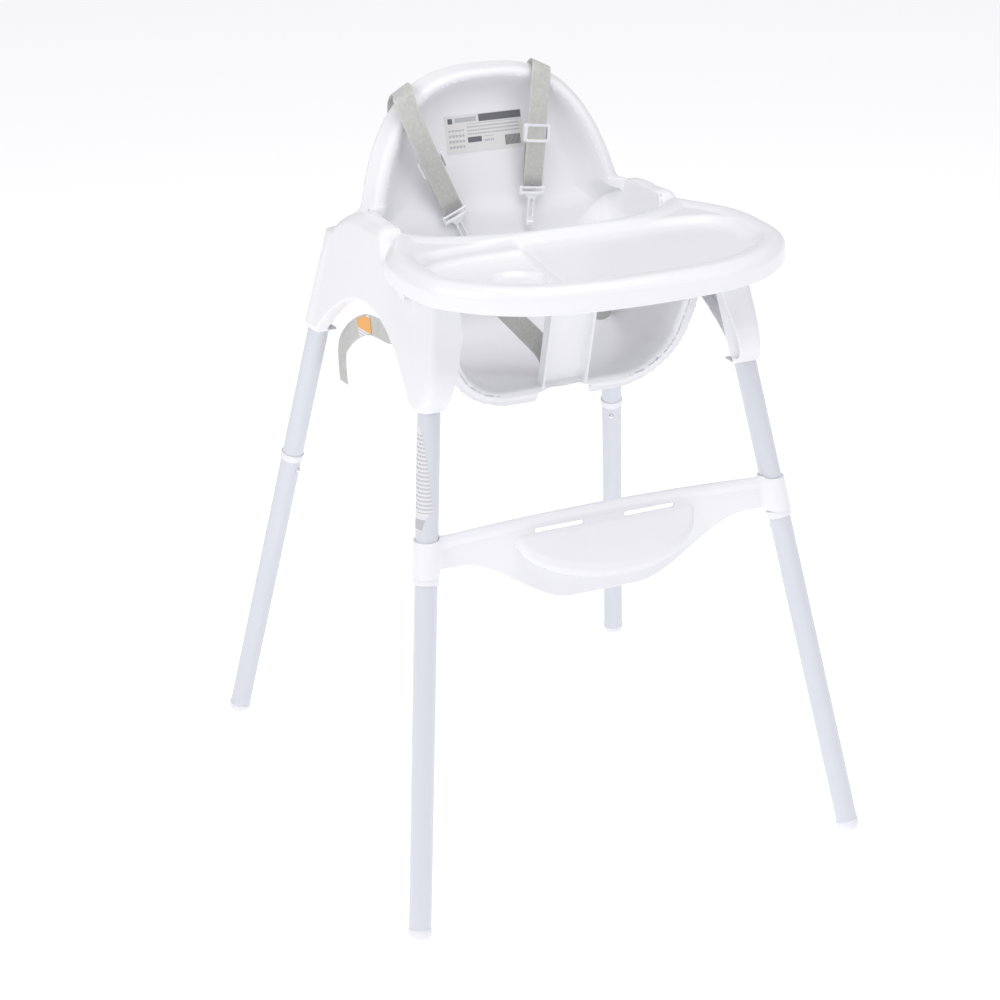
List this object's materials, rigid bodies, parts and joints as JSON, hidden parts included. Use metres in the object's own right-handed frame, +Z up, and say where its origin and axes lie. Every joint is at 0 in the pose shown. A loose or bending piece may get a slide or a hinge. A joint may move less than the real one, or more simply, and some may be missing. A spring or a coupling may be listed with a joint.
{
  "type": "baby high chair",
  "caption": "Moulded bucket-seat high chair on splayed tubular legs, with slide-on tray, footrest and harness.",
  "frame": {"origin": "on the floor under the middle of the chair, at the bottom centre of its box", "axes": "+Z up, -Y the way the child faces, +X to the right seen from the front"},
  "size_m": [0.5828, 0.6364, 0.872],
  "materials": {
    "shell_plastic": "satin",
    "tray_plastic": "semi-gloss",
    "footrest_plastic": "satin",
    "leg_paint": "powder coated, satin",
    "ring_plastic": "satin",
    "cap_plastic": "translucent white",
    "button_chrome": "polished",
    "spring_steel": "bare",
    "screw_steel": "zinc plated",
    "latch_plastic": "satin",
    "webbing": "plain woven",
    "harness_plastic": "satin",
    "label_film": "printed film",
    "label_fabric": "printed satin tape"
  },
  "bodies": {
    "chair": {"upper_leg_front_left": "leg_paint", "lower_leg_front_left": "leg_paint", "leg_ring_front_left": "ring_plastic", "foot_cap_front_left": "cap_plastic", "leg_clip_front_left": "spring_steel", "upper_leg_front_right": "leg_paint", "lower_leg_front_right": "leg_paint", "leg_ring_front_right": "ring_plastic", "foot_cap_front_right": "cap_plastic", "leg_clip_front_right": "spring_steel", "upper_leg_rear_left": "leg_paint", "lower_leg_rear_left": "leg_paint", "leg_ring_rear_left": "ring_plastic", "foot_cap_rear_left": "cap_plastic", "leg_clip_rear_left": "spring_steel", "upper_leg_rear_right": "leg_paint", "lower_leg_rear_right": "leg_paint", "leg_ring_rear_right": "ring_plastic", "foot_cap_rear_right": "cap_plastic", "leg_clip_rear_right": "spring_steel", "leg_screws": "screw_steel", "footrest": "footrest_plastic", "seat_bucket": "shell_plastic", "backrest": "shell_plastic", "side_panel_left": "shell_plastic", "side_panel_right": "shell_plastic", "shoulder_strap_left": "webbing", "strap_anchor_left": "harness_plastic", "lap_strap_left": "webbing", "buckle_tongue_left": "harness_plastic", "shoulder_strap_right": "webbing", "strap_anchor_right": "harness_plastic", "lap_strap_right": "webbing", "buckle_tongue_right": "harness_plastic", "crotch_strap": "webbing", "buckle": "harness_plastic", "back_label": "label_film", "leg_label": "label_film", "strap_label": "label_fabric"},
    "tray": {"tray": "tray_plastic"},
    "tray_latch_left": {"tray_latch_left": "latch_plastic"},
    "tray_latch_right": {"tray_latch_right": "latch_plastic"},
    "leg_button_front_left": {"leg_button_front_left": "button_chrome"},
    "leg_button_front_right": {"leg_button_front_right": "button_chrome"},
    "leg_button_rear_left": {"leg_button_rear_left": "button_chrome"},
    "leg_button_rear_right": {"leg_button_rear_right": "button_chrome"},
    "strap_slider_left": {"strap_slider_left": "harness_plastic"},
    "strap_hook_left": {"strap_hook_left": "harness_plastic"},
    "strap_slider_right": {"strap_slider_right": "harness_plastic"},
    "strap_hook_right": {"strap_hook_right": "harness_plastic"},
    "buckle_button": {"buckle_button": "harness_plastic"}
  },
  "joints": [
    {"name": "tray_slide", "type": "slide", "parent": "chair", "child": "tray", "axis": [0, -1, 0], "range_m": [0, 0.032]},
    {"name": "tray_latch_left_slide", "type": "slide", "parent": "tray", "child": "tray_latch_left", "axis": [-1, 0, 0], "range_m": [0, 0.0075], "stiffness_N_per_m": 600, "springref_m": -0.002},
    {"name": "tray_latch_right_slide", "type": "slide", "parent": "tray", "child": "tray_latch_right", "axis": [1, 0, 0], "range_m": [0, 0.0075], "stiffness_N_per_m": 600, "springref_m": -0.002},
    {"name": "leg_button_front_left_press", "type": "slide", "parent": "chair", "child": "leg_button_front_left", "axis": [-0.4884, -0.8272, 0.2778], "range_m": [0, 0.0038], "stiffness_N_per_m": 1500, "springref_m": -0.002},
    {"name": "leg_button_front_right_press", "type": "slide", "parent": "chair", "child": "leg_button_front_right", "axis": [0.4884, -0.8272, 0.2778], "range_m": [0, 0.0038], "stiffness_N_per_m": 1500, "springref_m": -0.002},
    {"name": "leg_button_rear_left_press", "type": "slide", "parent": "chair", "child": "leg_button_rear_left", "axis": [-0.4884, 0.8272, 0.2778], "range_m": [0, 0.0038], "stiffness_N_per_m": 1500, "springref_m": -0.002},
    {"name": "leg_button_rear_right_press", "type": "slide", "parent": "chair", "child": "leg_button_rear_right", "axis": [0.4884, 0.8272, 0.2778], "range_m": [0, 0.0038], "stiffness_N_per_m": 1500, "springref_m": -0.002},
    {"name": "strap_slider_left_slide", "type": "slide", "parent": "chair", "child": "strap_slider_left", "axis": [0.392, -0.0299, -0.9195], "range_m": [-0.025, 0.03]},
    {"name": "strap_hook_left_swing", "type": "hinge", "parent": "chair", "child": "strap_hook_left", "pos_m": [-0.05222, 0.08694, 0.70716], "axis": [-0.9199, 0.0002, -0.3922], "range_deg": [0, 60]},
    {"name": "strap_slider_right_slide", "type": "slide", "parent": "chair", "child": "strap_slider_right", "axis": [-0.1247, -0.074, -0.9894], "range_m": [-0.025, 0.03]},
    {"name": "strap_hook_right_swing", "type": "hinge", "parent": "chair", "child": "strap_hook_right", "pos_m": [0.04925, 0.08785, 0.72502], "axis": [-0.9921, -0.0004, 0.1251], "range_deg": [0, 60]},
    {"name": "buckle_button_press", "type": "slide", "parent": "chair", "child": "buckle_button", "axis": [0, 1, 0], "range_m": [0, 0.0015], "stiffness_N_per_m": 800, "springref_m": -0.002}
  ]
}
